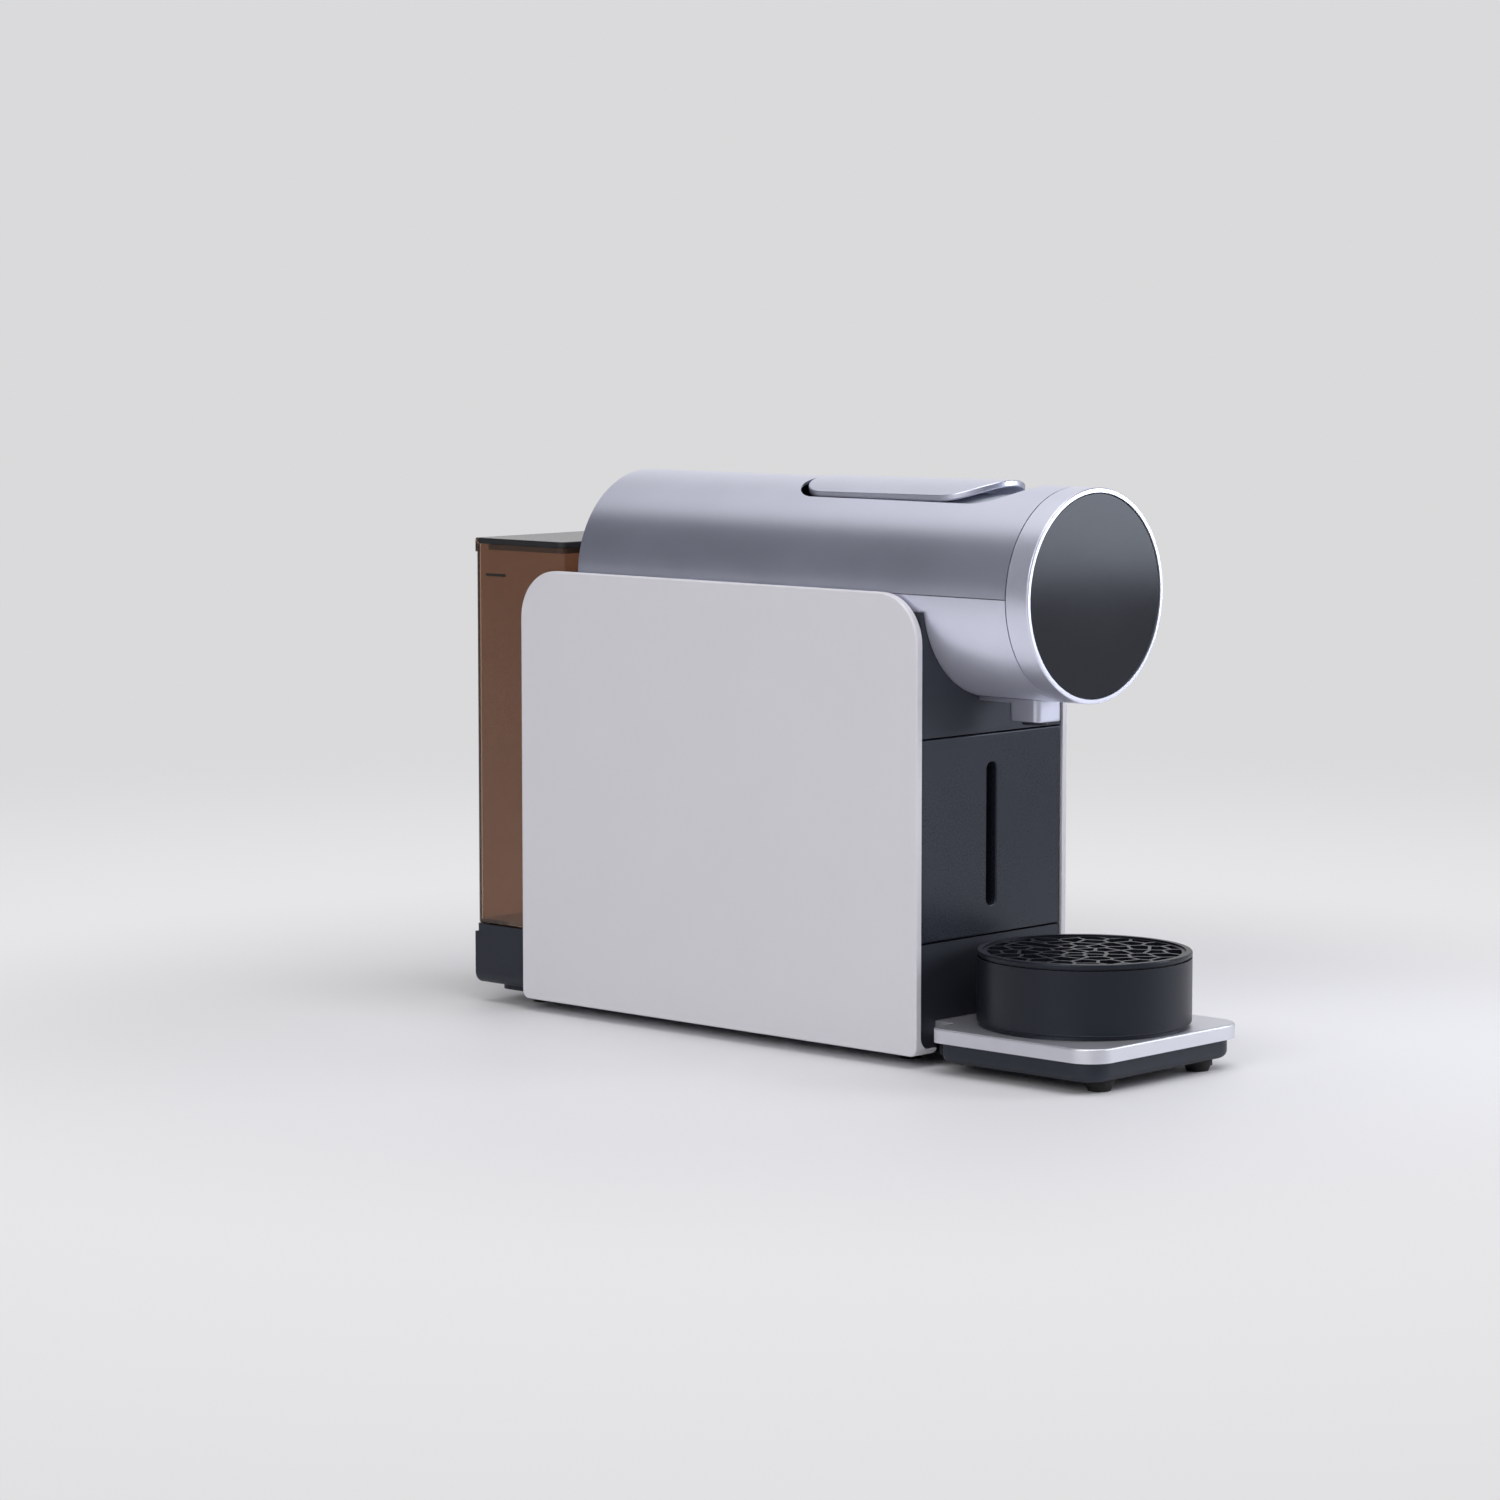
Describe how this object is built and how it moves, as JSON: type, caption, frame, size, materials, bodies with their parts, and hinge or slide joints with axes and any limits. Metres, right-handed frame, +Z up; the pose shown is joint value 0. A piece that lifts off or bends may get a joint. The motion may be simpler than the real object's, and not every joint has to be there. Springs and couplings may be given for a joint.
{
  "type": "pod coffee machine",
  "caption": "Slim pod coffee machine with a lying barrel, top lever, turning dial ring, spout, round drip tray, used-pod container and a lift-out water tank behind.",
  "frame": {"origin": "middle of the bounding box's footprint, on the table", "axes": "+Z up, front faces -Y (dial and cup), tank at +Y, +X to the right seen from the front"},
  "size_m": [0.1138, 0.4078, 0.2734],
  "materials": {
    "silver_shell": "satin anodised",
    "dial_silver": "satin anodised",
    "lever_silver": "satin anodised",
    "plate_silver": "satin anodised",
    "spout_silver": "satin anodised",
    "side_panel": "soft satin",
    "dark_plastic": "fine grain",
    "bin_front": "fine grain",
    "tray_black": "satin",
    "display_black": "gloss",
    "lid_black": "satin",
    "tank_amber": "clear tinted",
    "rubber": "matte",
    "steel": "brushed",
    "brass": "satin",
    "cast_alloy": "cast",
    "white_plastic": "satin",
    "silicone": "matte",
    "board_green": "satin"
  },
  "bodies": {
    "housing": {"rubber_feet": "rubber", "base_screws": "steel", "stand_base": "dark_plastic", "cup_plate": "plate_silver", "tray_pad": "plate_silver", "left_side_panel": "side_panel", "right_side_panel": "side_panel", "base_tub": "dark_plastic", "mains_inlet": "tray_black", "left_frame": "dark_plastic", "right_frame": "dark_plastic", "rear_wall": "dark_plastic", "lower_front_wall": "dark_plastic", "front_fascia": "dark_plastic", "bin_shelf": "dark_plastic", "barrel_upper": "silver_shell", "barrel_lower": "silver_shell", "barrel_end_cap": "silver_shell", "pod_chute": "dark_plastic", "lever_well": "tray_black", "spout_collar": "spout_silver", "spout_nozzle": "tray_black", "brew_head": "dark_plastic", "exit_plate": "steel", "guide_rods": "steel", "brew_rear_plate": "dark_plastic", "feed_pipe": "brass", "lever_bracket": "steel", "idler_pin": "steel", "bulkhead": "dark_plastic", "dial_retainer": "steel", "tank_dock": "dark_plastic", "heater_block": "cast_alloy", "pump": "dark_plastic", "pump_mounts": "rubber", "flow_meter": "white_plastic", "water_hoses": "silicone", "control_board": "board_green"},
    "lever": {"lever": "lever_silver", "lever_shaft": "steel", "sector_gear": "steel"},
    "idler": {"idler_gear": "steel"},
    "carriage": {"brew_carriage": "dark_plastic", "pod_cage": "cast_alloy", "drive_rack": "steel"},
    "dial": {"dial_ring": "dial_silver"},
    "display": {"display_lens": "display_black", "display_carrier": "dark_plastic", "display_board": "board_green"},
    "used_pods": {"bin_front": "bin_front", "pod_bin": "dark_plastic"},
    "drip_tray": {"drip_tray": "tray_black"},
    "cup_grid": {"cup_grid": "tray_black"},
    "tank": {"water_tank": "tank_amber", "valve_cage": "white_plastic", "valve_spring": "steel"},
    "tank_lid": {"tank_lid": "lid_black"},
    "tank_valve": {"valve_poppet": "white_plastic"}
  },
  "joints": [
    {"name": "lever_lift", "type": "hinge", "parent": "housing", "child": "lever", "pos_m": [0, -0.00765, 0.258], "axis": [-1, 0, 0], "range_deg": [0, 95]},
    {"name": "idler_turn", "type": "hinge", "parent": "housing", "child": "idler", "pos_m": [0, -0.00765, 0.231], "axis": [-1, 0, 0], "range_deg": [-190, 0]},
    {"name": "carriage_slide", "type": "slide", "parent": "housing", "child": "carriage", "axis": [0, 1, 0], "range_m": [0, 0.02985]},
    {"name": "dial_turn", "type": "hinge", "parent": "housing", "child": "dial", "pos_m": [0, -0.15, 0.2216], "axis": [0, 1, 0], "continuous": true},
    {"name": "display_press", "type": "slide", "parent": "housing", "child": "display", "axis": [0, 1, 0], "range_m": [0, 0.0012], "stiffness_N_per_m": 600},
    {"name": "container_slide", "type": "slide", "parent": "housing", "child": "used_pods", "axis": [0, -1, 0], "range_m": [0, 0.112]},
    {"name": "tray_slide", "type": "slide", "parent": "housing", "child": "drip_tray", "axis": [0, -1, 0], "range_m": [0, 0.115]},
    {"name": "grid_lift", "type": "slide", "parent": "drip_tray", "child": "cup_grid", "axis": [0, 0, 1], "range_m": [0, 0.06]},
    {"name": "tank_lift", "type": "slide", "parent": "housing", "child": "tank", "axis": [0, 0, 1], "range_m": [0, 0.2]},
    {"name": "lid_open", "type": "hinge", "parent": "tank", "child": "tank_lid", "pos_m": [0, 0.2024, 0.23495], "axis": [-1, 0, 0], "range_deg": [0, 100]},
    {"name": "valve_lift", "type": "slide", "parent": "tank", "child": "tank_valve", "axis": [0, 0, 1], "range_m": [0, 0.0025], "stiffness_N_per_m": 300, "deforming": ["valve_spring"]}
  ],
  "couplings": [
    {"joint": "idler_turn", "follows": "lever_lift", "ratio": -2},
    {"joint": "carriage_slide", "follows": "lever_lift", "m_per_rad": 0.018}
  ]
}
